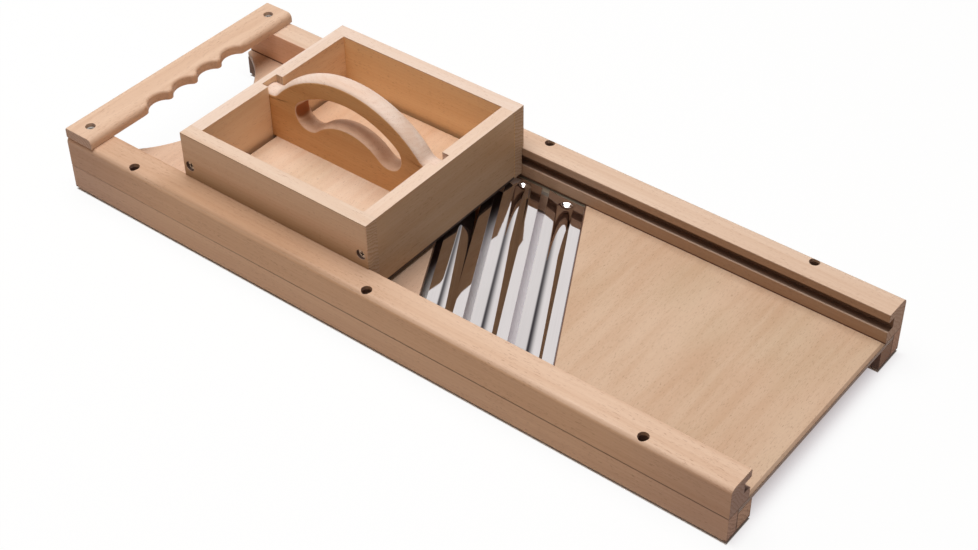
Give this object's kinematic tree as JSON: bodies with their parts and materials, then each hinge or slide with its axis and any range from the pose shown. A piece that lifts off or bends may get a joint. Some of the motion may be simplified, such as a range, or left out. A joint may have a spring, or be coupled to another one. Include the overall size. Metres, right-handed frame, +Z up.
{
  "type": "mandoline slicer",
  "caption": "Wooden cabbage mandoline: grooved rails, slanted pressed blades across a plywood bed, a sliding feed box and a lift-out pusher with an arched grip.",
  "frame": {"origin": "under the middle of the slicer, on the surface it stands on", "axes": "+X from the handle end to the free end, +Y from the near rail to the far rail, +Z up"},
  "size_m": [0.676, 0.253, 0.135],
  "materials": {
    "beech_rail": "sanded, oiled",
    "beech_box": "sanded",
    "beech_grip": "sanded",
    "plywood": "sanded, sealed",
    "blade_steel": "polished",
    "strip_steel": "brushed",
    "screw_zinc": "zinc plated"
  },
  "bodies": {
    "frame": {"near_base_rail": "beech_rail", "far_base_rail": "beech_rail", "near_bed_batten": "beech_rail", "far_bed_batten": "beech_rail", "near_guide_rail": "beech_rail", "far_guide_rail": "beech_rail", "handle_bar": "beech_rail", "entry_bed": "plywood", "exit_bed": "plywood", "near_blade_strip": "strip_steel", "far_blade_strip": "strip_steel", "blade_1": "blade_steel", "blade_2": "blade_steel", "blade_3": "blade_steel", "rail_screws": "screw_zinc", "handle_bar_screws": "screw_zinc"},
    "feed_box": {"box_near_wall": "beech_box", "box_far_wall": "beech_box", "box_back_wall": "beech_box", "box_front_wall": "beech_box", "near_guide_tongue": "beech_box", "far_guide_tongue": "beech_box", "box_corner_screws": "screw_zinc"},
    "pusher": {"pusher_plate": "plywood", "pusher_handle": "beech_grip", "pusher_screws": "screw_zinc"}
  },
  "joints": [
    {"name": "feed_box_slide", "type": "slide", "parent": "frame", "child": "feed_box", "axis": [1, 0, 0], "range_m": [0, 0.352]},
    {"name": "pusher_lift", "type": "slide", "parent": "feed_box", "child": "pusher", "axis": [0, 0, 1], "range_m": [0, 0.062]}
  ]
}
